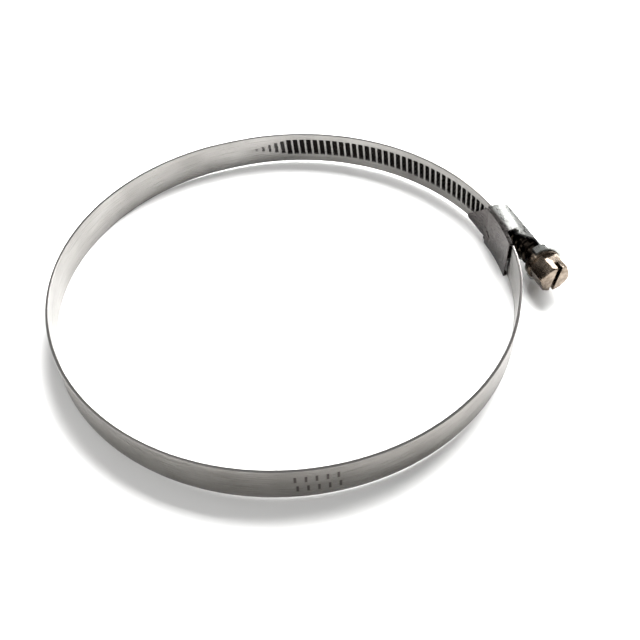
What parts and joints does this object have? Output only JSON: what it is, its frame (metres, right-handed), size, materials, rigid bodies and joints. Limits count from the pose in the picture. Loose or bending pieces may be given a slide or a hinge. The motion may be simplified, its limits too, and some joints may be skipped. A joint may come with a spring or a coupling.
{
  "type": "worm-drive hose clamp",
  "caption": "Worm-drive hose clamp: a steel strap with a pressed thread closes round a hose when the hexagon-headed, slotted screw in its domed housing is turned.",
  "frame": {"origin": "centre of the hose bore, halfway up the strap", "axes": "+Z along the hose axis, with the screw 0.3 mm above the middle; the housing is on the +X side, outside the strap; the screw lies along Y with its head towards -Y"},
  "size_m": [0.1214, 0.1112, 0.0106],
  "materials": {
    "strap_steel": "smooth rolled stainless steel",
    "housing_steel": "smooth pressed stainless steel",
    "screw_zinc": "zinc-plated steel with a faint yellow tint"
  },
  "bodies": {
    "housing_body": {"housing": "housing_steel", "strap_fixed_end": "strap_steel"},
    "screw_body": {"worm_screw": "screw_zinc"},
    "threaded_end_body": {"strap_threaded_end": "strap_steel"},
    "stretch_01_body": {"strap_stretch_01": "strap_steel"},
    "stretch_02_body": {"strap_stretch_02": "strap_steel"},
    "stretch_03_body": {"strap_stretch_03": "strap_steel"},
    "stretch_04_body": {"strap_stretch_04": "strap_steel"},
    "stretch_05_body": {"strap_stretch_05": "strap_steel"},
    "stretch_06_body": {"strap_stretch_06": "strap_steel"},
    "stretch_07_body": {"strap_stretch_07": "strap_steel"},
    "stretch_08_body": {"strap_stretch_08": "strap_steel"},
    "stretch_09_body": {"strap_stretch_09": "strap_steel"},
    "stretch_10_body": {"strap_stretch_10": "strap_steel"}
  },
  "joints": [
    {"name": "screw_turn", "type": "hinge", "parent": "housing_body", "child": "screw_body", "pos_m": [0.06085, -0.007, 0.0003], "axis": [0, 1, 0], "range_deg": [0, 11814.08]},
    {"name": "strap_draw", "type": "hinge", "parent": "housing_body", "child": "threaded_end_body", "pos_m": [0.002, 0, 0], "axis": [0, 0, -1], "range_deg": [0, 65.63]},
    {"name": "flex_01", "type": "hinge", "parent": "threaded_end_body", "child": "stretch_01_body", "pos_m": [0.01986, 0.05186, 0], "axis": [0, 0, 1], "range_deg": [0, 8.51]},
    {"name": "flex_02", "type": "hinge", "parent": "stretch_01_body", "child": "stretch_02_body", "pos_m": [-0.00657, 0.05461, 0], "axis": [0, 0, 1], "range_deg": [0, 11.25]},
    {"name": "flex_03", "type": "hinge", "parent": "stretch_02_body", "child": "stretch_03_body", "pos_m": [-0.03128, 0.04524, 0], "axis": [0, 0, 1], "range_deg": [0, 6.1]},
    {"name": "flex_04", "type": "hinge", "parent": "stretch_03_body", "child": "stretch_04_body", "pos_m": [-0.04877, 0.02542, 0], "axis": [0, 0, 1], "range_deg": [0, 3.09]},
    {"name": "flex_05", "type": "hinge", "parent": "stretch_04_body", "child": "stretch_05_body", "pos_m": [-0.055, -0.00027, 0], "axis": [0, 0, 1], "range_deg": [0, 3.42]},
    {"name": "flex_06", "type": "hinge", "parent": "stretch_05_body", "child": "stretch_06_body", "pos_m": [-0.04852, -0.02589, 0], "axis": [0, 0, 1], "range_deg": [0, 5.95]},
    {"name": "flex_07", "type": "hinge", "parent": "stretch_06_body", "child": "stretch_07_body", "pos_m": [-0.03084, -0.04554, 0], "axis": [0, 0, 1], "range_deg": [0, 8.31]},
    {"name": "flex_08", "type": "hinge", "parent": "stretch_07_body", "child": "stretch_08_body", "pos_m": [-0.00603, -0.05467, 0], "axis": [0, 0, 1], "range_deg": [0, 8.41]},
    {"name": "flex_09", "type": "hinge", "parent": "stretch_08_body", "child": "stretch_09_body", "pos_m": [0.02017, -0.05117, 0], "axis": [0, 0, 1], "range_deg": [0, 6.37]},
    {"name": "flex_10", "type": "hinge", "parent": "stretch_09_body", "child": "stretch_10_body", "pos_m": [0.04171, -0.03585, 0], "axis": [0, 0, 1], "range_deg": [0, 4.26]}
  ],
  "couplings": [
    {"joint": "screw_turn", "follows": "strap_draw", "ratio": 180},
    {"joint": "flex_01", "follows": "strap_draw", "ratio": 0.12963},
    {"joint": "flex_02", "follows": "strap_draw", "ratio": 0.17133},
    {"joint": "flex_03", "follows": "strap_draw", "ratio": 0.092837},
    {"joint": "flex_04", "follows": "strap_draw", "ratio": 0.047034},
    {"joint": "flex_05", "follows": "strap_draw", "ratio": 0.052126},
    {"joint": "flex_06", "follows": "strap_draw", "ratio": 0.090688},
    {"joint": "flex_07", "follows": "strap_draw", "ratio": 0.12653},
    {"joint": "flex_08", "follows": "strap_draw", "ratio": 0.12805},
    {"joint": "flex_09", "follows": "strap_draw", "ratio": 0.096954},
    {"joint": "flex_10", "follows": "strap_draw", "ratio": 0.064821}
  ]
}
